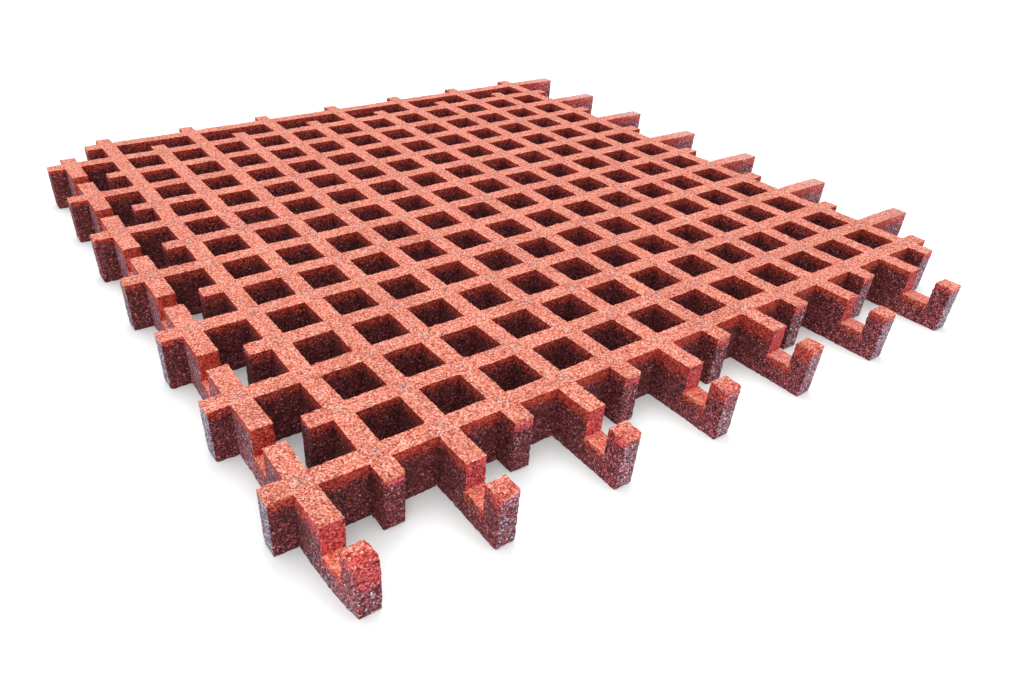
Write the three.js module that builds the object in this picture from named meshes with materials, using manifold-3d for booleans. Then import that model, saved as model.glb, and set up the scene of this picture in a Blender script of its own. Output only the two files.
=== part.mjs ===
// Rubber grass paver: a square grid of crumb-rubber bars, moulded in one piece.
//
// Millimetres, +Z up, with the origin under the middle of the whole outline. Bars that run along Y
// are numbered from the left and bars that run along X from the front, both from 0. The front and
// left sides carry half-lap notches that open upwards, and the right and back sides carry notches
// that open downwards, so that a paver laid alongside drops in and its bars carry on the same grid.

import * as THREE from "three";
import { mergeVertices } from "three/addons/utils/BufferGeometryUtils.js";
import Module from "manifold-3d";

// Driving sizes
const barsEachWay = 14; // an even number, so that a laid field repeats without a seam
const barPitch = 43.6; // centre to centre, so the paver covers 14 pitches, or about 610 mm
const barWidth = 13.8;
const height = 38;
const notchClearance = 1.8; // between a notch's wall and the bar that lies in it
const notchSpare = 1; // height left between two bars that lap over each other
const fingerEnd = 66; // from an edge bar's centre line to the tip of a finger
const stubEnd = 21.5; // from an edge bar's centre line to the end of a stub

// The bound crumb's look
const rubberColour = 0xd8765f;
const rubberRoughness = 0.95;

// Sizes worked out from the driving sizes
const lastBar = barsEachWay - 1;
const notchWidth = barWidth + 2 * notchClearance;
const notchDepth = (height + notchSpare) / 2;

// The outline reaches further on the front and right, where the fingers are, than on the back and
// left, so its middle lies off the middle of the grid by half of the difference.
const middleOffset = (fingerEnd - stubEnd) / 2;

// Rough bars stand out above and below the paver, those along X more than those along Y, and are
// trimmed to its height together, so that no two of them share a plane.
const roughAlongY = 2;
const roughAlongX = 4;
const overcut = 6; // what a cutting block reaches past the faces that it cuts

const wasm = await Module();
wasm.setup();

// Centre lines of bar i along Y and of bar j along X
function barX(i) {
  return (i - lastBar / 2) * barPitch - middleOffset;
}

function barY(j) {
  return (j - lastBar / 2) * barPitch + middleOffset;
}

// Turns a closed three.js geometry into a solid
function toSolid(geometry) {
  geometry.deleteAttribute("normal");
  geometry.deleteAttribute("uv");
  const merged = mergeVertices(geometry);
  return new wasm.Manifold(
    new wasm.Mesh({
      numProp: 3,
      vertProperties: new Float32Array(merged.attributes.position.array),
      triVerts: new Uint32Array(merged.index.array),
    }),
  );
}

// Turns a solid back into a geometry with flat faces
function toGeometry(solid) {
  const mesh = solid.getMesh();
  const indexed = new THREE.BufferGeometry();
  indexed.setAttribute("position", new THREE.BufferAttribute(mesh.vertProperties, 3));
  indexed.setIndex(new THREE.BufferAttribute(mesh.triVerts, 1));
  const flat = indexed.toNonIndexed();
  flat.computeVertexNormals();
  return flat;
}

// A block between its lowest and its highest corner
function block(low, high) {
  const size = high.map((value, axis) => value - low[axis]);
  const geometry = new THREE.BoxGeometry(...size);
  geometry.translate(...low.map((value, axis) => value + size[axis] / 2));
  return toSolid(geometry);
}

// Bars along Y. The even ones start as long fingers at the front and end as stubs inside the last
// row of cells. The odd ones start as short stubs and cross the back edge bar.
function barsAlongY() {
  const bars = [];
  for (let i = 0; i < barsEachWay; i += 1) {
    const isFinger = i % 2 === 0;
    const from = barY(0) - (isFinger ? fingerEnd : stubEnd);
    const to = barY(isFinger ? lastBar - 1 : lastBar) + stubEnd;
    const left = barX(i) - barWidth / 2;
    bars.push(block([left, from, -roughAlongY], [left + barWidth, to, height + roughAlongY]));
  }
  return bars;
}

// Bars along X. The odd ones start as stubs inside the first column of cells and run out as long
// fingers on the right. The even ones cross the left edge bar and end as short stubs.
function barsAlongX() {
  const bars = [];
  for (let j = 0; j < barsEachWay; j += 1) {
    const isFinger = j % 2 === 1;
    const from = barX(isFinger ? 1 : 0) - stubEnd;
    const to = barX(lastBar) + (isFinger ? fingerEnd : stubEnd);
    const front = barY(j) - barWidth / 2;
    bars.push(block([from, front, -roughAlongX], [to, front + barWidth, height + roughAlongX]));
  }
  return bars;
}

// The layer between the floor and the paver's top, wider than the paver all round
function trimmingLayer() {
  const reach = barsEachWay * barPitch;
  return block([-reach, -reach, 0], [reach, reach, height]);
}

// The space of one half-lap notch, which spans the bar that it is cut in
function notch(x, y, spanX, spanY, opensUp) {
  const bottom = opensUp ? height - notchDepth : -overcut;
  const top = opensUp ? height + overcut : notchDepth;
  return block([x - spanX / 2, y - spanY / 2, bottom], [x + spanX / 2, y + spanY / 2, top]);
}

function notchInBarAlongY(x, y) {
  return notch(x, y, barWidth + 2 * overcut, notchWidth, true);
}

function notchInBarAlongX(x, y) {
  return notch(x, y, notchWidth, barWidth + 2 * overcut, false);
}

// Every notch sits where a bar of the next paver crosses: on the front fingers, in the left edge
// bar between its stubs, on the right fingers, and in the back edge bar between its stubs.
function halfLapNotches() {
  const notches = [];
  for (let i = 0; i < barsEachWay; i += 2) {
    notches.push(notchInBarAlongY(barX(i), barY(-1)));
    notches.push(notchInBarAlongX(barX(barsEachWay), barY(i + 1)));
  }
  for (let i = 1; i < lastBar; i += 2) {
    notches.push(notchInBarAlongY(barX(0), barY(i)));
    notches.push(notchInBarAlongX(barX(i + 1), barY(lastBar)));
  }
  return notches;
}

function makePaver() {
  const roughGrid = wasm.Manifold.union([...barsAlongY(), ...barsAlongX()]);
  const grid = roughGrid.intersect(trimmingLayer());
  const solid = grid.subtract(wasm.Manifold.union(halfLapNotches()));
  const material = new THREE.MeshStandardMaterial({
    color: rubberColour,
    roughness: rubberRoughness,
    metalness: 0,
  });
  const paver = new THREE.Mesh(toGeometry(solid), material);
  paver.name = "paver";
  return paver;
}

const part = new THREE.Group();
part.add(makePaver());

export default part;
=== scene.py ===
# Rubber grass paver: the granular skin of the moulding, its crumb finish, and a plain studio.
#
# Metres, +Z up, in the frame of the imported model. The skin is worked out on a lattice whose lines
# run along every face of the bars. The lattice cells that lie in rubber are marked, the faces
# between marked and empty cells are the surface, and its corners are then shaken as crumbs lie.

import math

import bpy
import numpy as np
from mathutils import Matrix, Vector


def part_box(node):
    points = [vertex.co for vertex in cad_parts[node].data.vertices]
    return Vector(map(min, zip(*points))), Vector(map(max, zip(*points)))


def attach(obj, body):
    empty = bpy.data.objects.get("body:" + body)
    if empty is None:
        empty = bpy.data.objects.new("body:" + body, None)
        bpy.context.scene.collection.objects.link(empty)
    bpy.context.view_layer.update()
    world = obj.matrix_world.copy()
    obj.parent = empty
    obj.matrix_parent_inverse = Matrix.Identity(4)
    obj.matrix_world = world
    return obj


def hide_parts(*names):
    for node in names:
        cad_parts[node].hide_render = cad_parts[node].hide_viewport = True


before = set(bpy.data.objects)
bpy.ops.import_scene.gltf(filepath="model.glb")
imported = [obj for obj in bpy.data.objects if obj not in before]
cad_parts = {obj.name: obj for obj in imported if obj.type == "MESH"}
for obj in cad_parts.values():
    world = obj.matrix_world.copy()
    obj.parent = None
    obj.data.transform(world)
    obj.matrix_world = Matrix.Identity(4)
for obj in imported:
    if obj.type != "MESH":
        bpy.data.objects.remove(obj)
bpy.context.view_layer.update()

# Sizes of the moulding
BARS = 14
BAR_WIDTH = 0.0138
NOTCH_CLEARANCE = 0.0018
NOTCH_SPARE = 0.001
FINGER_END = 0.066
STUB_END = 0.0215

paver_low, paver_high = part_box("paver")
HEIGHT = paver_high.z - paver_low.z
LAST = BARS - 1
HALF_BAR = BAR_WIDTH / 2
BAR_PITCH = (paver_high.x - paver_low.x - FINGER_END - STUB_END) / LAST
NOTCH_WIDTH = BAR_WIDTH + 2 * NOTCH_CLEARANCE
NOTCH_DEPTH = (HEIGHT + NOTCH_SPARE) / 2

# The lattice, and how far its corners are shaken
LATTICE_STEP = 0.00178
LOW_LAYER = 0.0027
HIGH_LAYER = 0.0017
SIDE_SHAKE = 0.00014
PROUD_SHAKE = 0.00013
RAGGED_ARRIS = 0.00034
ARRIS_WEAR = 0.00012
LUMP_SHARE = 0.0015
LUMP = 0.0009
ARRIS_ANGLE = math.radians(45)
SEED = 5

# Strips of two bars each, so that no piece is too heavy
BARS_PER_STRIP = 2
PATCH_GAP = 0.0025


def bar_x(i):
    return paver_low.x + STUB_END + i * BAR_PITCH


def bar_y(j):
    return paver_low.y + FINGER_END + j * BAR_PITCH


def bars():
    """The bars' rectangles in plan, as x from, x to, y from and y to.

    Along Y, the even bars start as fingers at the front and end as stubs in the last row of cells.
    Along X, the odd bars start as stubs in the first column and end as fingers on the right.
    """
    for i in range(BARS):
        finger = i % 2 == 0
        front = bar_y(0) - (FINGER_END if finger else STUB_END)
        back = bar_y(LAST - finger) + STUB_END
        yield bar_x(i) - HALF_BAR, bar_x(i) + HALF_BAR, front, back
    for j in range(BARS):
        finger = j % 2 == 1
        left = bar_x(finger) - STUB_END
        right = bar_x(LAST) + (FINGER_END if finger else STUB_END)
        yield left, right, bar_y(j) - HALF_BAR, bar_y(j) + HALF_BAR


def notch_box(x, y, along_x, along_y, opens_up):
    """A notch's box round a point in plan, in the upper or the lower half of the height."""
    heights = (HEIGHT - NOTCH_DEPTH, HEIGHT) if opens_up else (0, NOTCH_DEPTH)
    return (x - along_x / 2, x + along_x / 2, y - along_y / 2, y + along_y / 2, *heights)


def upper_notches():
    """Notches that open upwards: across the front fingers, and across the left edge bar."""
    for i in range(0, BARS, 2):
        yield notch_box(bar_x(i), bar_y(-1), BAR_WIDTH, NOTCH_WIDTH, True)
    for j in range(1, LAST, 2):
        yield notch_box(bar_x(0), bar_y(j), BAR_WIDTH, NOTCH_WIDTH, True)


def lower_notches():
    """Notches that open downwards: across the right fingers, and across the back edge bar."""
    for j in range(1, BARS, 2):
        yield notch_box(bar_x(BARS), bar_y(j), NOTCH_WIDTH, BAR_WIDTH, False)
    for i in range(2, LAST, 2):
        yield notch_box(bar_x(i), bar_y(LAST), NOTCH_WIDTH, BAR_WIDTH, False)


def strip_cuts():
    """Where one strip ends and the next begins along X, each in the middle of a column of cells."""
    return [bar_x(i + 0.5) for i in range(BARS_PER_STRIP - 1, LAST, BARS_PER_STRIP)]


def lattice_lines(marks, steps):
    """Lines through every mark, with equal steps between two marks, about as long as asked."""
    marks = np.unique(np.round(marks, 6))
    runs = [
        np.linspace(start, stop, max(1, round((stop - start) / step)), endpoint=False)
        for start, stop, step in zip(marks[:-1], marks[1:], np.broadcast_to(steps, len(marks) - 1))
    ]
    return np.concatenate([*runs, marks[-1:]])


def lattice():
    """The lines along X, Y and Z, which pass through every flat face of the moulding."""
    plan = np.array(list(bars()))
    notches = np.array([*upper_notches(), *lower_notches()])
    x_marks = np.concatenate([plan[:, :2].ravel(), notches[:, :2].ravel(), strip_cuts()])
    y_marks = np.concatenate([plan[:, 2:].ravel(), notches[:, 2:4].ravel()])
    xs = lattice_lines(x_marks, LATTICE_STEP)
    ys = lattice_lines(y_marks, LATTICE_STEP)
    levels = [0, HEIGHT - NOTCH_DEPTH, NOTCH_DEPTH, HEIGHT]
    zs = lattice_lines(levels, [LOW_LAYER, HIGH_LAYER, HIGH_LAYER])
    return xs, ys, zs


def between(values, low, high):
    return (values > low) & (values < high)


def filled_cells(lines):
    """True for each lattice cell whose middle lies in a bar and in no notch."""
    mx, my, mz = ((line[:-1] + line[1:]) / 2 for line in lines)
    plan = np.zeros((len(mx), len(my)), bool)
    for x0, x1, y0, y1 in bars():
        plan |= np.outer(between(mx, x0, x1), between(my, y0, y1))
    filled = np.repeat(plan[:, :, None], len(mz), axis=2)
    for x0, x1, y0, y1, z0, z1 in (*upper_notches(), *lower_notches()):
        filled[np.ix_(between(mx, x0, x1), between(my, y0, y1), between(mz, z0, z1))] = False
    return filled


def outward_at_corners(filled):
    """The outward direction at each lattice corner, and how many of its eight cells are filled.

    The direction is the sum, over the filled cells round the corner, of the way from the cell to
    the corner, made a unit long. It is straight out on a face and halfway between the faces at an
    arris, and it is zero inside the rubber, where the eight ways cancel.
    """
    room = np.pad(filled, 1)
    count = np.zeros([n + 1 for n in filled.shape], np.int8)
    out = np.zeros((*count.shape, 3), np.float32)
    for offset in np.ndindex(2, 2, 2):
        window = tuple(slice(o, o + n) for o, n in zip(offset, count.shape))
        part = room[window]
        count += part
        out += part[..., None] * (1 - 2 * np.array(offset, np.float32))
    length = np.linalg.norm(out, axis=-1, keepdims=True)
    return out / np.maximum(length, 1e-6), count


def bar_ends():
    """Every free end of a bar: the axis along the bar, where the end is, which way along the axis
    is inward, and the bar's centre line."""
    for x0, x1, y0, y1 in bars():
        along = 1 if x1 - x0 < y1 - y0 else 0
        start, stop = ((x0, x1), (y0, y1))[along]
        centre = (y0 + y1) / 2 if along == 0 else (x0 + x1) / 2
        yield along, start, 1, centre
        yield along, stop, -1, centre


# How the ends are worn round
PLAN_ROUND = 0.0013
TOP_ROUND = 0.0009
FOOT_ROUND = 0.0013
END_SLACK = 0.0012

# The first front finger is bent to the right and worn down at its tip, and the last one is longer
BENT_TIP = 0.0045
WORN_TIP_ROUND = 0.0048
LONG_TIP = 0.003


def round_arris(first, second, radius):
    """Two distances in from the faces that meet at an arris, moved so that the arris is round.

    Within a radius of both faces, the square corner goes onto a quarter circle: with u and v
    running from 0 to 1 towards the faces, both are scaled by the larger one over their length.
    """
    u = 1 - first / radius
    v = 1 - second / radius
    inside = (u > 0) & (v > 0)
    scale = np.where(inside, np.maximum(u, v) / np.maximum(np.hypot(u, v), 1e-9), 1)
    return radius * (1 - u * scale), radius * (1 - v * scale)


def wear_ends(points):
    """Rounds the upright arrises, the top and the foot of every free end of a bar."""
    front_finger = bar_x(0), bar_y(0) - FINGER_END
    for along, end, inward, centre in bar_ends():
        across = 1 - along
        worn = along == 1 and (centre, end) == front_finger
        top_round = WORN_TIP_ROUND if worn else TOP_ROUND
        reach = max(PLAN_ROUND, top_round, FOOT_ROUND)
        depth = (points[:, along] - end) * inward
        aside = points[:, across] - centre
        beside = abs(aside) < HALF_BAR + END_SLACK
        near = np.flatnonzero((depth < reach) & (depth > -END_SLACK) & beside)
        p = points[near]
        d = depth[near]
        side = HALF_BAR - abs(aside[near])
        way = np.sign(aside[near])
        d, side = round_arris(d, side, PLAN_ROUND)
        d, down = round_arris(d, HEIGHT - p[:, 2], top_round)
        d, up = round_arris(d, HEIGHT - down, FOOT_ROUND)
        p[:, along] = end + d * inward
        p[:, across] = centre + way * (HALF_BAR - side)
        p[:, 2] = up
        points[near] = p


def bend_first_finger(points):
    """Bends the first front finger to the right, by the square of the way past the edge bar."""
    root = bar_y(0) - HALF_BAR
    length = FINGER_END - HALF_BAR
    on_finger = (points[:, 1] < root) & (abs(points[:, 0] - bar_x(0)) < HALF_BAR + END_SLACK)
    past = np.where(on_finger, (root - points[:, 1]) / length, 0)
    points[:, 0] += BENT_TIP * past**2


def stretch_last_finger(points):
    """Moves the last front finger's tip forward, by a share that grows to 1 over its notch."""
    on_finger = abs(points[:, 0] - bar_x(LAST - 1)) < HALF_BAR + END_SLACK
    share = np.clip((bar_y(-1) + NOTCH_WIDTH / 2 - points[:, 1]) / NOTCH_WIDTH, 0, 1)
    points[:, 1] -= LONG_TIP * on_finger * share


# The slow wobble of the bars, as from rubber that shrank unevenly in the mould
WOBBLE = 0.00022
WOBBLE_WAVES = (0.083, 0.131, 0.211)
WOBBLE_SLANTS = (0.4, -0.3)
WOBBLE_TURNS = (2.1, 1.3)
WOBBLE_DRIFTS = (9, 7)


def wobble(points):
    """Shifts a point along X and along Y by waves that run mostly along the other of the two.

    The wave's angle is a full turn for each wavelength along that other axis, slanted a little
    with the height, plus an offset for each wave and a slow drift along the axis itself.
    """
    plan = points[:, :2].copy()
    z = points[:, 2].copy()
    for k, wave in enumerate(WOBBLE_WAVES):
        turn = 2 * math.pi / wave
        for axis in (0, 1):
            way = plan[:, 1 - axis] + WOBBLE_SLANTS[axis] * z
            offset = WOBBLE_TURNS[axis] * k + WOBBLE_DRIFTS[axis] * plan[:, axis]
            points[:, axis] += WOBBLE * np.sin(turn * way + offset)


def shaken_corners(lines, out, count):
    """Every lattice corner, moved as crumbs lie.

    A corner on the surface moves by a random amount each way, and in or out by another. At an
    arris it also moves by the cube of a random number, so that few move far, less a little wear,
    and a rare one stands out as a lump.
    """
    rng = np.random.default_rng(SEED)
    grid = np.stack(np.meshgrid(*lines, indexing="ij"), axis=-1).astype(np.float32)
    on_surface = (count > 0) & (count < 8)
    arris = on_surface & (count < 4)
    sideways = rng.uniform(-1, 1, grid.shape).astype(np.float32)
    proud = rng.uniform(-1, 1, count.shape).astype(np.float32)
    ragged = rng.uniform(-1, 1, count.shape).astype(np.float32)
    lumps = rng.random(count.shape) < LUMP_SHARE
    rise = PROUD_SHAKE * proud + arris * (RAGGED_ARRIS * ragged**3 - ARRIS_WEAR + LUMP * lumps)
    grid += on_surface[..., None] * (SIDE_SHAKE * sideways + rise[..., None] * out)
    return grid


def strip_skin(filled, first, last):
    """The closed skin of the lattice cells between two lattice lines along X, as quads.

    For each axis and each way along it, a filled cell whose neighbour that way is empty has a
    face there. Its four corners are the cell's corner on that side, and steps along the two other
    axes, taken in the order that turns the face outward.
    """
    part = np.zeros_like(filled)
    part[first:last] = filled[first:last]
    room = np.pad(part, 1)
    corners, facing = [], []
    for axis in range(3):
        u, v = np.eye(3, dtype=int)[[(axis + 1) % 3, (axis + 2) % 3]]
        for way in (1, -1):
            beyond = np.roll(room, -way, axis)[1:-1, 1:-1, 1:-1]
            cells = np.argwhere(part & ~beyond)
            base = cells + (way > 0) * np.eye(3, dtype=int)[axis]
            quad = np.stack([base, base + u, base + u + v, base + v], axis=1)
            corners.append(quad if way > 0 else quad[:, ::-1])
            facing.append(np.tile([axis, way], (len(cells), 1)))
    return np.concatenate(corners), np.concatenate(facing)


def unrolled(where, corners, facing):
    """Each corner's place on the bake's map, in metres, with the faces of each plane laid flat.

    The top and the underside are laid along the map's width, then each plane that faces along X,
    then the planes that face along Y, as many side by side as fit. Rows are stacked upwards.
    """
    low, high = where.min((0, 1)), where.max((0, 1))
    size = high - low
    place = np.zeros((len(corners), 4, 2))
    row = 0.0
    for way in (1, -1):
        flat = (facing[:, 0] == 2) & (facing[:, 1] == way)
        from_low = where[flat] - low
        place[flat] = np.stack([from_low[..., 1], from_low[..., 0] + row], axis=-1)
        row += size[0] + PATCH_GAP
    for axis, along in ((0, 1), (1, 0)):
        per_row = max(1, int(size[1] // (size[along] + PATCH_GAP)))
        column = 0
        mine = facing[:, 0] == axis
        planes = corners[:, 0, axis] * 2 + (facing[:, 1] > 0)
        for plane in np.unique(planes[mine]):
            here = mine & (planes == plane)
            shift = column * (size[along] + PATCH_GAP)
            from_low = where[here] - low
            place[here] = np.stack([from_low[..., along] + shift, from_low[..., 2] + row], axis=-1)
            column += 1
            if column == per_row:
                column = 0
                row += size[2] + PATCH_GAP
        if column:
            row += size[2] + PATCH_GAP
    return place / max(row, size[1] + PATCH_GAP)


def smooth_step(low, high, values):
    """0 up to the low value and 1 from the high one. Between them it is three times the square of
    the way from one to the other, less twice its cube."""
    t = np.clip((values - low) / (high - low), 0, 1)
    return t * t * (3 - 2 * t)


# Where the first front finger's left side takes on a finish of its own, in pitches from the
# centre line of the edge bar
FIRST_SIDE_GROWS = (0.3, 0.55)

# The red dye: how far down from the top it is whole, where it is gone, and how thick it is
CELL_DYE = (0.0, 0.0105, 0.92)
FRONT_STUB_SIDE_DYE = (0.0, 0.0090, 0.65)
OUTER_DYE = (0.0020, 0.0125, 1.0)
LEFT_STUB_DYE = (0.0006, 0.0066, 0.95)
FINGER_END_DYE = (0.0040, 0.0076, 0.72)
STUB_END_DYE = (0.0040, 0.0090, 0.92)
LEFT_END_DYE = (0.0, 0.0040, 0.14)
WORN_END_DYE = (0.0142, 0.0215, 0.85)

# How far below the floor of a notch the dye on the sides there is gone
NOTCH_DYE_GONE = 0.009

# How far the dye runs down each front finger's sides, as a share of its depth on an outer wall
FINGER_BARS = (0, 2, 4, 6, 8, 10, 12)
DYE_REACH_AT_ROOT = (1.2, 0.72, 1.02, 1.35, 1.35, 0.52, 0.55)
DYE_REACH_AT_TIP = (1.0, 1.0, 0.78, 1.25, 1.35, 0.55, 0.65)

# How far it runs down the left stubs' sides, as a share of the depth given for them. Behind the
# last of these bars the share stays the same
LEFT_STUB_BARS = (0, 2, 4)
DYE_REACH_ON_STUBS = (1.8, 1.4, 0.85)

# The pale coat of the top, where it runs over an arris: how far down, and how thick it is
FRONT_SIDE_COAT = (0.0042, 0.66)
RIGHT_SIDE_COAT = (0.0085, 0.60)
FINGER_END_COAT = (0.0040, 1.0)
STUB_END_COAT = (0.0046, 0.85)
LEFT_END_COAT = (0.0055, 0.65)
WORN_END_COAT = (0.0030, 0.70)
INNER_END_COAT = (0.0020, 0.50)
NOTCH_SIDE_COAT = (0.0045, 0.60)
FIRST_SIDE_COAT = (0.0160, 0.27)
FIRST_STUB_COAT = (0.0035, 0.62)

# How much thinner the coat is on top of the front tips, at these bars
TIP_BARS = (0, 2, 8, 10)
TIP_THINNER = (0.85, 0.55, 0.55, 0.15)

# The pale painted sheen, a highlight that makes the far tops paler: on the right fingers, how thick
# it is at the second bar and from the middle bar on, and on the front notches' floors, between which
# bars it grows, and how thick it gets
SHEEN_AT_SECOND_BAR = 0.45
FLOOR_SHEEN_BARS = (6, 8)
FLOOR_SHEEN = 0.35

# How crimson the dye is at the front fingers' tips and on their notches' walls
TIP_CRIMSON = 0.5
NOTCH_CRIMSON = 0.8

# The rubbed marks on the top, in the middle of every crossing
MARK_FULL = 0.0020
MARK_GONE = 0.0062

# How near to a face a corner of the lattice counts as on it
AT_A_FACE = 0.0003


def near_box(where, box):
    """True for the corners that lie in a box or on its faces."""
    low, high = np.reshape(box, (3, 2)).T
    return ((where > low - AT_A_FACE) & (where < high + AT_A_FACE)).all(-1)


def on_end(where, facing, along, end, inward, centre):
    """True for the corners of the faces that close a bar's end."""
    closing = (facing[:, 0] == along) & (facing[:, 1] == -inward)
    here = (abs(where[..., along] - end) < AT_A_FACE) & (
        abs(where[..., 1 - along] - centre) < HALF_BAR + AT_A_FACE
    )
    return closing[:, None] & here


def looks_up(facing):
    return ((facing[:, 0] == 2) & (facing[:, 1] > 0))[:, None]


def faces_along(facing, axis):
    """True for the faces that look along an axis, either way."""
    return (facing[:, 0] == axis)[:, None]


def on_left_side(where, facing):
    """True on the left edge bar's outer face and on the first front finger's left side."""
    return faces_along(facing, 0) & (abs(where[..., 0] - bar_x(0) + HALF_BAR) < AT_A_FACE)


def first_side(where, facing):
    """1 on the first front finger's left side, but growing from 0 near the edge bar."""
    out = (bar_y(0) - where[..., 1]) / BAR_PITCH
    return on_left_side(where, facing) * smooth_step(*FIRST_SIDE_GROWS, out)


def fading(down, full, gone, most=1.0):
    """The most there is, down to where it is whole, then less and less to where it is gone."""
    return most * (1 - smooth_step(full, gone, down))


def top_coat(where, facing):
    """How much of the pale coat a face has.

    Faces that look up have all of it, but for the front fingers' tips, where it is rubbed
    thinner. The fingers' sides, the first left stub's front, the bars' ends and the sides below a
    notch's floor have a part, which is gone a few millimetres below the arris. On the first front
    finger's left side a thin coat runs further down.
    """
    x, y, z = np.moveaxis(where, -1, 0)
    down = HEIGHT - z
    front = smooth_step(BAR_PITCH, FINGER_END, bar_y(0) - y)
    right = smooth_step(HALF_BAR, FINGER_END, x - bar_x(LAST))
    coat = np.maximum(
        front * fading(down, 0, *FRONT_SIDE_COAT),
        right * fading(down, 0, *RIGHT_SIDE_COAT),
    )
    coat = np.maximum(coat, first_side(where, facing) * fading(down, 0, *FIRST_SIDE_COAT))
    on_front_face = faces_along(facing, 1) & (abs(y - bar_y(0) + HALF_BAR) < AT_A_FACE)
    first_stub = on_front_face & (x < bar_x(0) - HALF_BAR + AT_A_FACE)
    coat = np.where(first_stub, fading(down, 0, *FIRST_STUB_COAT), coat)
    for ending in bar_ends():
        run = end_finish(*ending)[1]
        coat = np.where(on_end(where, facing, *ending), fading(down, 0, *run), coat)
    for box in upper_notches():
        floor = box[4]
        under = near_box(where, (*box[:4], floor - NOTCH_SIDE_COAT[0], floor))
        coat = np.where(under, fading(floor - z, 0, *NOTCH_SIDE_COAT), coat)
    thinner = np.interp(x, bar_x(np.array(TIP_BARS)), TIP_THINNER)
    return np.where(looks_up(facing), 1 - front * thinner, coat)


def notch_floor(where, facing):
    """1 on the floors of the notches that open upwards, and 0 elsewhere."""
    return looks_up(facing) & (where[..., 2] < HEIGHT - AT_A_FACE)


def rubbed_mark(where, facing):
    """How rubbed the top is, by the distance from the middle of the nearest crossing."""
    i = np.round((where[..., 0] - bar_x(0)) / BAR_PITCH)
    j = np.round((where[..., 1] - bar_y(0)) / BAR_PITCH)
    off = np.hypot(where[..., 0] - bar_x(i), where[..., 1] - bar_y(j))
    crosses = (i >= 0) & (i <= LAST) & (j >= 0) & (j <= LAST) & ~((i % 2 == 0) & (j == LAST))
    on_top = looks_up(facing) & (where[..., 2] > HEIGHT - AT_A_FACE)
    return (on_top & crosses) * fading(off, MARK_FULL, MARK_GONE)


def end_finish(along, end, inward, centre):
    """The dye and the coat that a bar's end has."""
    if along == 0 and inward > 0:
        if end > bar_x(0):
            return LEFT_STUB_DYE, INNER_END_COAT
        return LEFT_END_DYE, LEFT_END_COAT
    if inward < 0 or end > bar_y(0) - STUB_END - AT_A_FACE:
        return STUB_END_DYE, STUB_END_COAT
    if centre == bar_x(0):
        return WORN_END_DYE, WORN_END_COAT
    return FINGER_END_DYE, FINGER_END_COAT


def dye_reach(x, y):
    """The dye's reach on the front fingers' sides, which differs from one finger to the next."""
    fingers = bar_x(np.array(FINGER_BARS))
    root, tip = (np.interp(x, fingers, reach) for reach in (DYE_REACH_AT_ROOT, DYE_REACH_AT_TIP))
    return root + (tip - root) * smooth_step(HALF_BAR, FINGER_END, bar_y(0) - y)


def wall_dye(where, facing):
    """How much red dye a wall has: all of it at the top, and none below a certain depth.

    The depth differs between the cells, the outer walls, the stubs' sides and the bars' ends. On
    the front fingers' sides and on the left stubs' sides it is scaled by a reach of their own. The
    walls of an upper notch that face each other are dyed down to its floor.
    """
    x, y, z = np.moveaxis(where, -1, 0)
    down = HEIGHT - z
    faces_along_y = faces_along(facing, 1)
    on_stub = np.round((x - bar_x(0)) / BAR_PITCH) % 2 == 1
    front = y < bar_y(0) - HALF_BAR + AT_A_FACE
    right = x > bar_x(LAST) + HALF_BAR - AT_A_FACE
    left_stub = (x < bar_x(0) - HALF_BAR + AT_A_FACE) & faces_along_y
    dye = np.where(front | right, fading(down, *OUTER_DYE), fading(down, *CELL_DYE))
    dye = np.where(front & ~faces_along_y, fading(down / dye_reach(x, y), *OUTER_DYE), dye)
    dye = np.where(front & on_stub & ~faces_along_y, fading(down, *FRONT_STUB_SIDE_DYE), dye)
    stub_reach = np.interp(y, bar_y(np.array(LEFT_STUB_BARS)), DYE_REACH_ON_STUBS)
    dye = np.where(left_stub, fading(down / stub_reach, *LEFT_STUB_DYE), dye)
    for box in upper_notches():
        floor = box[4]
        under = near_box(where, (*box[:4], floor - NOTCH_DYE_GONE, floor))
        below = fading(floor - z, 0, NOTCH_DYE_GONE)
        dye = np.where(under, np.maximum(dye, below), dye)
        dye = np.where(near_box(where, box) & faces_along_y, 1, dye)
    for ending in bar_ends():
        closing = on_end(where, facing, *ending)
        dye = np.where(closing, fading(down, *end_finish(*ending)[0]), dye)
    return dye


def painted_sheen_share(where, facing):
    """How much painted sheen lies on a face that looks up, a pale highlight painted into the colour:
    more and more along the right fingers, most of all on those at the back, and some on the floors
    of the front notches to the right."""
    x, y = where[..., 0], where[..., 1]
    fingers = smooth_step(HALF_BAR, FINGER_END, x - bar_x(LAST))
    fingers *= np.interp(y, [bar_y(1), bar_y(LAST / 2)], [SHEEN_AT_SECOND_BAR, 1])
    floors = np.interp(x, bar_x(np.array(FLOOR_SHEEN_BARS)), [0, FLOOR_SHEEN])
    return looks_up(facing) * np.maximum(fingers, notch_floor(where, facing) * floors)


def crimson_dye(where, facing):
    """How far the dye turns from orange to crimson: part of the way at the front fingers' tips,
    further on their notches' walls, more and more along the right fingers, and wholly on the first
    front finger's left side and on the bars' ends."""
    x, y = where[..., 0], where[..., 1]
    crimson = np.maximum(
        smooth_step(BAR_PITCH, FINGER_END, bar_y(0) - y) * TIP_CRIMSON,
        smooth_step(HALF_BAR, FINGER_END, x - bar_x(LAST)),
    )
    crimson = np.maximum(crimson, first_side(where, facing))
    across_finger = faces_along(facing, 1) & (y < bar_y(0) - HALF_BAR - AT_A_FACE)
    crimson = np.where(across_finger, NOTCH_CRIMSON, crimson)
    for ending in bar_ends():
        crimson = np.where(on_end(where, facing, *ending), 1, crimson)
    return crimson
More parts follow.
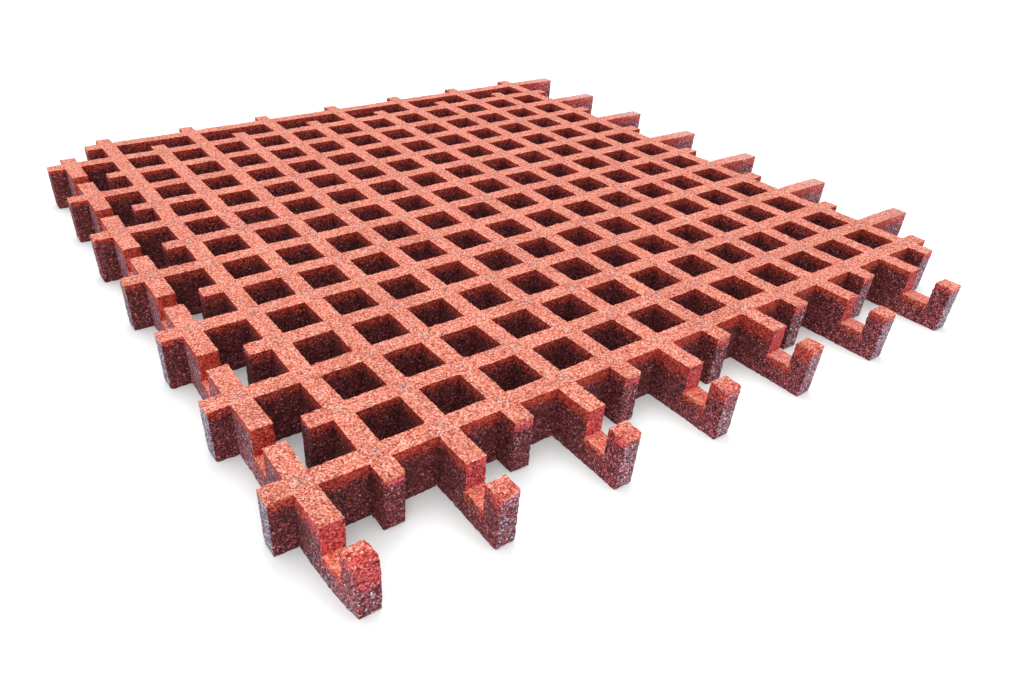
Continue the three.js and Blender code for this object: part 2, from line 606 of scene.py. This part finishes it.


# The share of crumbs that are grey, partly bare crumb and partly painted sheen on faces open to the
# white surroundings, and the share that are pink, partly stained by the dye and partly painted light
# on the open fingers' sides. What a wall has more than any wall has is added. The shares of the
# fingers' sides are those at the tip.
ANY_WALL = np.array([0.01, 0.08])
FRONT_SIDE = np.array([0.02, 0.38])
RIGHT_SIDE = np.array([0.24, 0.46])
LEFT_FACE = np.array([0.22, 0.44])
AT_FOOT = np.array([0.0, 0.16])
AT_FIRST_FOOT = np.array([0.30, -0.22])
# The left ends' grey is mostly painted sheen, with some bare crumb
LEFT_END = np.array([0.95, 0.05])
FAR_LEFT_END = np.array([0.12, 0.30])
FAR_LEFT_BARS = (4, 8)
INNER_END = np.array([0.04, 0.06])
WORN_END = np.array([0.19, 0.46])
FRONT_FINGER_END = np.array([0.33, 0.44])
FRONT_STUB_END = np.array([0.03, 0.30])
# Painted sheen: more grey crumbs towards the right of the front
MORE_SHEEN_AT_RIGHT = np.array([0.55, 0.0])
FAR_END = np.array([0.45, 0.35])


def end_shares(along, end, inward, centre):
    """The two shares on a bar's end.

    On the left, nearly all crumbs are grey up to the first of two bars, and few from the second on;
    this grey is mostly painted sheen, with some bare crumb. Along the front, more are grey towards
    the right, by the square of the way along, and that growth is painted sheen.
    """
    if inward < 0:
        return FAR_END
    if along == 0:
        if end > bar_x(0):
            return INNER_END
        far = np.interp(centre, bar_y(np.array(FAR_LEFT_BARS)), [0, 1])
        return LEFT_END + (FAR_LEFT_END - LEFT_END) * far
    if end_finish(along, end, inward, centre)[0] == WORN_END_DYE:
        return WORN_END
    finger = end < bar_y(0) - STUB_END - AT_A_FACE
    way = (centre - bar_x(0)) / (bar_x(LAST) - bar_x(0))
    return (FRONT_FINGER_END if finger else FRONT_STUB_END) + MORE_SHEEN_AT_RIGHT * way**2


def crumb_shares(where, facing):
    """The two shares at every corner.

    On a finger's sides they grow from the edge bar to the tip, partly as painted light and sheen
    where the sides come out into the open. There are more on the first front finger's left side and
    on the left edge bar's outer face, where the grey is mostly painted sheen. Over the lower half of
    every wall more crumbs are pink, lighter towards the foot, but on the first finger's left side
    more of them are grey instead. Where that finger's tip is dyed, few crumbs are grey.
    """
    x, y, z = np.moveaxis(where, -1, 0)
    front = smooth_step(0, FINGER_END, bar_y(0) - y)
    right = smooth_step(0, FINGER_END, x - bar_x(LAST))
    left = on_left_side(where, facing) * np.where(y > bar_y(0), 1, front / 2)
    foot = smooth_step(HEIGHT / 2, HEIGHT, HEIGHT - z)
    shares = ANY_WALL + sum(
        grown[..., None] * most
        for grown, most in (
            (front, FRONT_SIDE),
            (right, RIGHT_SIDE),
            (left, LEFT_FACE),
            (foot, AT_FOOT),
            (foot * first_side(where, facing), AT_FIRST_FOOT),
        )
    )
    for ending in bar_ends():
        shares[on_end(where, facing, *ending)] = end_shares(*ending)
    first_tip = (x < bar_x(0) + HALF_BAR + AT_A_FACE) & (y < bar_y(-1) - NOTCH_WIDTH / 2)
    dyed = first_tip * fading(HEIGHT - z, *WORN_END_DYE)
    shares[..., 0] *= 1 - dyed
    return shares


def strip_mesh(name, filled, lines, shaken, first, last):
    """One strip of the moulding as a closed mesh with its map and its finish attributes, some of
    which carry painted light and painted sheen.
    """
    corners, facing = strip_skin(filled, first, last)
    shape = shaken.shape[:3]
    ids = np.ravel_multi_index(tuple(np.moveaxis(corners, -1, 0)), shape)
    used, index = np.unique(ids, return_inverse=True)
    where = np.stack([line[i] for line, i in zip(lines, np.moveaxis(corners, -1, 0))], axis=-1)
    points = shaken.reshape(-1, 3)[used].astype(float)
    wear_ends(points)
    bend_first_finger(points)
    stretch_last_finger(points)
    wobble(points)
    points[:, 2] = np.maximum(points[:, 2], 0)

    mesh = bpy.data.meshes.new(name)
    mesh.vertices.add(len(points))
    mesh.vertices.foreach_set("co", points.astype(np.float32).ravel())
    mesh.loops.add(index.size)
    mesh.loops.foreach_set("vertex_index", index.astype(np.int32).ravel())
    mesh.polygons.add(len(corners))
    mesh.polygons.foreach_set("loop_start", np.arange(0, index.size, 4, dtype=np.int32))
    mesh.uv_layers.new(name="OFBake").data.foreach_set(
        "uv", unrolled(where, corners, facing).astype(np.float32).ravel()
    )
    bare_and_sheen, stain_and_light = np.moveaxis(crumb_shares(where, facing), -1, 0)
    finish_and_light = {
        "coat": top_coat(where, facing),
        # The notch floors, where the coat takes painted bounce light
        "notch": notch_floor(where, facing),
        "mark": rubbed_mark(where, facing),
        "painted_sheen": painted_sheen_share(where, facing),
        "dye": wall_dye(where, facing),
        "crimson": crimson_dye(where, facing),
        "bare_and_sheen": bare_and_sheen,
        "stain_and_light": stain_and_light,
    }
    for attribute, values in finish_and_light.items():
        layer = mesh.attributes.new(attribute, "FLOAT", "CORNER")
        layer.data.foreach_set("value", values.astype(np.float32).ravel())
    mesh.update(calc_edges=True)
    mesh.validate()
    mesh.shade_smooth()
    mesh.set_sharp_from_angle(angle=ARRIS_ANGLE)
    return mesh


class Nodes:
    """A short hand for laying out one material's nodes."""

    def __init__(self, name):
        self.material = bpy.data.materials.new(name)
        self.material.use_nodes = True
        self.tree = self.material.node_tree
        self.shader = self.tree.nodes["Principled BSDF"]

    def add(self, kind, inputs=None, **settings):
        node = self.tree.nodes.new(kind)
        for key, value in settings.items():
            setattr(node, key, value)
        for key, value in (inputs or {}).items():
            self.put(node.inputs[key], value)
        return node

    def put(self, socket, value):
        if isinstance(value, bpy.types.NodeSocket):
            self.tree.links.new(value, socket)
        else:
            socket.default_value = value

    def ramp(self, factor, stops):
        """A colour for each number, from stops of a place and a colour."""
        node = self.add("ShaderNodeValToRGB", {"Fac": factor})
        elements = node.color_ramp.elements
        while len(elements) < len(stops):
            elements.new(0.5)
        for element, (place, colour) in zip(elements, stops):
            element.position = place
            element.color = (*colour, 1)
        return node.outputs["Color"]

    def span(self, value, low, high, to_low=0.0, to_high=1.0):
        """A smooth step between two values, given on a scale of its own."""
        node = self.add(
            "ShaderNodeMapRange",
            {
                "Value": value,
                "From Min": low,
                "From Max": high,
                "To Min": to_low,
                "To Max": to_high,
            },
            interpolation_type="SMOOTHSTEP",
        )
        return node.outputs["Result"]

    def maths(self, operation, first, second):
        return self.add("ShaderNodeMath", {0: first, 1: second}, operation=operation).outputs[0]

    def mix(self, factor, first, second, kind="MIX"):
        """A blend of two colours, by the mix node's colour sockets."""
        node = self.add("ShaderNodeMix", data_type="RGBA", blend_type=kind)
        for place, value in ((0, factor), (6, first), (7, second)):
            self.put(node.inputs[place], value)
        return node.outputs[2]

    def attribute(self, name):
        return self.add("ShaderNodeAttribute", attribute_name=name).outputs["Fac"]


# Crumb finish: the sieve sizes of the crumb, and how much of a shade the coarse one sets
CRUMB = 0.00098
FINE_CRUMB = 0.00055
COARSE_SHARE = 0.75

# How uneven the coat lies, between which amounts a dye or a coat covers a crumb, and how sharply a
# crumb is picked to be grey (bare crumb and painted sheen), pink (stain and painted light) or rubbed
COAT_UNEVENNESS = 0.6
COVER = (0.35, 0.65)
PICK_EDGE = (0.0, 0.04)

# The share of crumbs that a mark rubs, and how thick the painted sheen is and its colour
MARK_SHARE = 0.42
SHEEN_SHARE = 0.38
SHEEN_SHADE = (0.62, 0.50, 0.55, 1)

# The dark gaps between crumbs, the slow blotches, the gloss and the relief
GAP = (0.50, 0.90)
GAP_SHADE = 0.35
BLOTCH = 0.03
BLOTCH_DETAIL = 2.0
BLOTCH_SPAN = (0.3, 0.7)
BLOTCH_SHADES = (0.92, 1.06)
ROUGHNESS = (0.68, 0.98)
SPECULAR = 0.3
FINE_RELIEF = 0.35
RELIEF_STRENGTH = 0.8
RELIEF_DEPTH = CRUMB * 0.4

# The crumb's shades from dark to light, in each finish, and in the painted light and sheen
TOP_SHADES = (
    (0.00, (0.15, 0.010, 0.006)),
    (0.15, (0.40, 0.048, 0.025)),
    (0.33, (0.64, 0.142, 0.082)),
    (0.60, (0.76, 0.258, 0.182)),
    (0.85, (0.87, 0.422, 0.332)),
    (1.00, (0.97, 0.660, 0.585)),
)
RUBBED_SHADES = (
    (0.00, (0.10, 0.040, 0.034)),
    (0.40, (0.36, 0.200, 0.165)),
    (0.75, (0.62, 0.430, 0.385)),
    (1.00, (0.86, 0.700, 0.660)),
)
# The notch floors' brighter, deeper orange is painted light: it stands in for light bounced between
# the notch walls and makes up for their shade
NOTCH_BOUNCE_SHADES = (
    (0.00, (0.42, 0.040, 0.020)),
    (0.30, (0.84, 0.140, 0.080)),
    (0.70, (0.96, 0.290, 0.200)),
    (1.00, (1.00, 0.560, 0.470)),
)
CRIMSON_SHADES = (
    (0.00, (0.03, 0.003, 0.004)),
    (0.30, (0.38, 0.030, 0.036)),
    (0.60, (0.76, 0.084, 0.094)),
    (0.90, (0.96, 0.200, 0.210)),
    (1.00, (1.00, 0.460, 0.480)),
)
DYED_SHADES = (
    (0.00, (0.06, 0.004, 0.003)),
    (0.30, (0.32, 0.022, 0.012)),
    (0.60, (0.56, 0.053, 0.027)),
    (0.90, (0.74, 0.118, 0.074)),
    (1.00, (0.84, 0.270, 0.200)),
)
PLAIN_SHADES = (
    (0.00, (0.010, 0.002, 0.003)),
    (0.30, (0.045, 0.006, 0.007)),
    (0.60, (0.135, 0.020, 0.021)),
    (0.85, (0.260, 0.060, 0.066)),
    (1.00, (0.420, 0.160, 0.180)),
)
# Pink shades, of crumb stained by the dye, and on the open fingers' sides partly painted light
STAIN_AND_LIGHT_SHADES = (
    (0.00, (0.025, 0.004, 0.005)),
    (0.35, (0.200, 0.031, 0.039)),
    (0.65, (0.400, 0.080, 0.096)),
    (0.88, (0.640, 0.230, 0.270)),
    (1.00, (0.860, 0.520, 0.580)),
)
# Lilac-grey shades, of bare crumb and of painted sheen
BARE_AND_SHEEN_SHADES = (
    (0.00, (0.020, 0.012, 0.022)),
    (0.38, (0.170, 0.130, 0.180)),
    (0.66, (0.390, 0.330, 0.415)),
    (0.88, (0.650, 0.595, 0.690)),
    (1.00, (0.920, 0.880, 0.950)),
)


def crumb_rubber():
    """Bound rubber crumb: each crumb has its own shade and stands proud of the dark gaps."""
    n = Nodes("crumb_rubber")
    place = n.add("ShaderNodeTexCoord").outputs["Object"]
    crumbs = n.add("ShaderNodeTexVoronoi", {"Vector": place, "Scale": 1 / CRUMB})
    fines = n.add("ShaderNodeTexVoronoi", {"Vector": place, "Scale": 1 / FINE_CRUMB})
    dice = n.add("ShaderNodeSeparateColor", {"Color": crumbs.outputs["Color"]})
    fine_dice = n.add("ShaderNodeSeparateColor", {"Color": fines.outputs["Color"]})
    shade = n.add(
        "ShaderNodeMath",
        {
            0: dice.outputs["Red"],
            1: COARSE_SHARE,
            2: n.maths("MULTIPLY", fine_dice.outputs["Red"], 1 - COARSE_SHARE),
        },
        operation="MULTIPLY_ADD",
    ).outputs[0]

    chance = dice.outputs["Blue"]
    spread = n.maths("SUBTRACT", dice.outputs["Green"], 0.5)
    dyed = n.span(n.maths("ADD", n.attribute("dye"), spread), *COVER)
    coat_spread = n.maths("MULTIPLY", spread, COAT_UNEVENNESS)
    coated = n.span(n.maths("ADD", n.attribute("coat"), coat_spread), *COVER)
    # Grey crumbs, partly painted sheen, and pink ones, partly painted light; worn is the two shares
    # together
    bare_and_sheen = n.span(n.maths("SUBTRACT", n.attribute("bare_and_sheen"), chance), *PICK_EDGE)
    worn = n.maths("ADD", n.attribute("bare_and_sheen"), n.attribute("stain_and_light"))
    stain_and_light = n.span(n.maths("SUBTRACT", worn, chance), *PICK_EDGE)
    rubbed = n.maths("MULTIPLY", n.attribute("mark"), MARK_SHARE)
    rubbed = n.span(n.maths("SUBTRACT", rubbed, chance), *PICK_EDGE)

    colour = n.mix(stain_and_light, n.ramp(shade, PLAIN_SHADES), n.ramp(shade, STAIN_AND_LIGHT_SHADES))
    colour = n.mix(bare_and_sheen, colour, n.ramp(shade, BARE_AND_SHEEN_SHADES))
    dye = n.mix(n.attribute("crimson"), n.ramp(shade, DYED_SHADES), n.ramp(shade, CRIMSON_SHADES))
    colour = n.mix(dyed, colour, dye)
    # On the notch floors the coat is painted brighter and deeper orange, as painted bounce light
    coat = n.mix(n.attribute("notch"), n.ramp(shade, TOP_SHADES), n.ramp(shade, NOTCH_BOUNCE_SHADES))
    coat = n.mix(rubbed, coat, n.ramp(shade, RUBBED_SHADES))
    # Painted sheen: a pale highlight over the coat on the far right fingers' tops and the right
    # notch floors
    coat = n.mix(n.maths("MULTIPLY", n.attribute("painted_sheen"), SHEEN_SHARE), coat, SHEEN_SHADE)
    colour = n.mix(coated, colour, coat)
    gap = n.span(crumbs.outputs["Distance"], *GAP, 1.0, GAP_SHADE)
    colour = n.mix(1.0, colour, gap, "MULTIPLY")
    blotch = n.add(
        "ShaderNodeTexNoise", {"Vector": place, "Scale": 1 / BLOTCH, "Detail": BLOTCH_DETAIL}
    )
    blotch = n.span(blotch.outputs["Fac"], *BLOTCH_SPAN, *BLOTCH_SHADES)
    colour = n.mix(1.0, colour, blotch, "MULTIPLY")
    n.put(n.shader.inputs["Base Color"], colour)

    roughness = n.span(fine_dice.outputs["Green"], 0.0, 1.0, *ROUGHNESS)
    n.put(n.shader.inputs["Roughness"], roughness)
    n.shader.inputs["Specular IOR Level"].default_value = SPECULAR

    hollows = n.maths("MULTIPLY", fines.outputs["Distance"], FINE_RELIEF)
    relief = n.maths("SUBTRACT", 0.0, n.maths("ADD", crumbs.outputs["Distance"], hollows))
    bump = n.add(
        "ShaderNodeBump",
        {"Strength": RELIEF_STRENGTH, "Distance": RELIEF_DEPTH, "Height": relief},
    )
    n.put(n.shader.inputs["Normal"], bump.outputs["Normal"])
    return n.material


def make_paver():
    lines = lattice()
    filled = filled_cells(lines)
    out, count = outward_at_corners(filled)
    shaken = shaken_corners(lines, out, count)
    rubber = crumb_rubber()
    bounds = [0, *np.abs(lines[0][:, None] - strip_cuts()).argmin(0), len(lines[0]) - 1]
    for number, (first, last) in enumerate(zip(bounds[:-1], bounds[1:]), start=1):
        name = f"paver_strip_{number}"
        mesh = strip_mesh(name, filled, lines, shaken, first, last)
        mesh.materials.append(rubber)
        strip = bpy.data.objects.new(name, mesh)
        bpy.context.scene.collection.objects.link(strip)
        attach(strip, "root")
        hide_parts("paver")


# Studio: the sky's grey for each sine of the height, and each lamp's place, size and power. Both
# lamps face the origin
FLOOR_REACH = 6.0
FLOOR_WHITE = (0.90, 0.93, 0.93, 1)
SKY_STRENGTH = 2.1
SKY_SHADES = ((0.0, 0.48), (0.16, 0.45), (0.34, 0.15), (0.60, 0.36), (1.0, 1.0))
LAMPS = {
    "overhead_lamp": (Vector((0.25, 0.60, 1.5)), 1.2, 8.5),
    "front_lamp": (Vector((-1.3, -1.6, 1.3)), 1.0, 10.0),
}


def make_floor():
    """A flat square sheet, wide enough to fill the view."""
    mesh = bpy.data.meshes.new("studio_floor")
    side = FLOOR_REACH * np.array([[-1, -1, 0], [1, -1, 0], [1, 1, 0], [-1, 1, 0]])
    mesh.from_pydata(side.tolist(), [], [(0, 1, 2, 3)])
    n = Nodes("studio_floor")
    n.shader.inputs["Base Color"].default_value = FLOOR_WHITE
    n.shader.inputs["Roughness"].default_value = 1.0
    n.shader.inputs["Specular IOR Level"].default_value = 0.0
    mesh.materials.append(n.material)
    floor = bpy.data.objects.new("studio_floor", mesh)
    bpy.context.scene.collection.objects.link(floor)


def make_sky():
    """A white sky that is brightest overhead and pale at the horizon."""
    world = bpy.data.worlds.new("white_sky")
    world.use_nodes = True
    tree = world.node_tree
    way = tree.nodes.new("ShaderNodeTexCoord")
    height = tree.nodes.new("ShaderNodeSeparateXYZ")
    shades = tree.nodes.new("ShaderNodeValToRGB")
    while len(shades.color_ramp.elements) < len(SKY_SHADES):
        shades.color_ramp.elements.new(0.5)
    for element, (sine, grey) in zip(shades.color_ramp.elements, SKY_SHADES):
        element.position = sine
        element.color = (grey, grey, grey, 1)
    sky = tree.nodes["Background"]
    sky.inputs["Strength"].default_value = SKY_STRENGTH
    tree.links.new(way.outputs["Generated"], height.inputs[0])
    tree.links.new(height.outputs["Z"], shades.inputs["Fac"])
    tree.links.new(shades.outputs["Color"], sky.inputs["Color"])
    bpy.context.scene.world = world


def make_lamps():
    for name, (place, size, power) in LAMPS.items():
        data = bpy.data.lights.new(name, "AREA")
        data.shape = "DISK"
        data.size = size
        data.energy = power
        lamp = bpy.data.objects.new(name, data)
        lamp.location = place
        lamp.rotation_euler = (-place).to_track_quat("-Z", "Y").to_euler()
        bpy.context.scene.collection.objects.link(lamp)


# Camera: where it stood for the photograph, and how it was turned, tilted and rolled
CAMERA_PLACE = Vector((-0.4103, -0.5462, 0.3153))
CAMERA_TURN = math.radians(-35.70)
CAMERA_TILT = math.radians(55.26)
CAMERA_ROLL = math.radians(2.52)
CAMERA_SENSOR = 36
CAMERA_LENS = 27.152
CAMERA_SHIFT = (0.0482, 0.0282)
CAMERA_NEAREST = 0.01


def make_camera():
    data = bpy.data.cameras.new("camera")
    data.sensor_width = CAMERA_SENSOR
    data.lens = CAMERA_LENS
    data.shift_x, data.shift_y = CAMERA_SHIFT
    data.clip_start = CAMERA_NEAREST
    camera = bpy.data.objects.new("camera", data)
    turned = (
        Matrix.Rotation(CAMERA_TURN, 4, "Z")
        @ Matrix.Rotation(CAMERA_TILT, 4, "X")
        @ Matrix.Rotation(CAMERA_ROLL, 4, "Z")
    )
    camera.matrix_world = Matrix.Translation(CAMERA_PLACE) @ turned
    bpy.context.scene.collection.objects.link(camera)
    bpy.context.scene.camera = camera


make_paver()
make_floor()
make_sky()
make_lamps()
make_camera()
bpy.context.scene.view_settings.view_transform = "Standard"
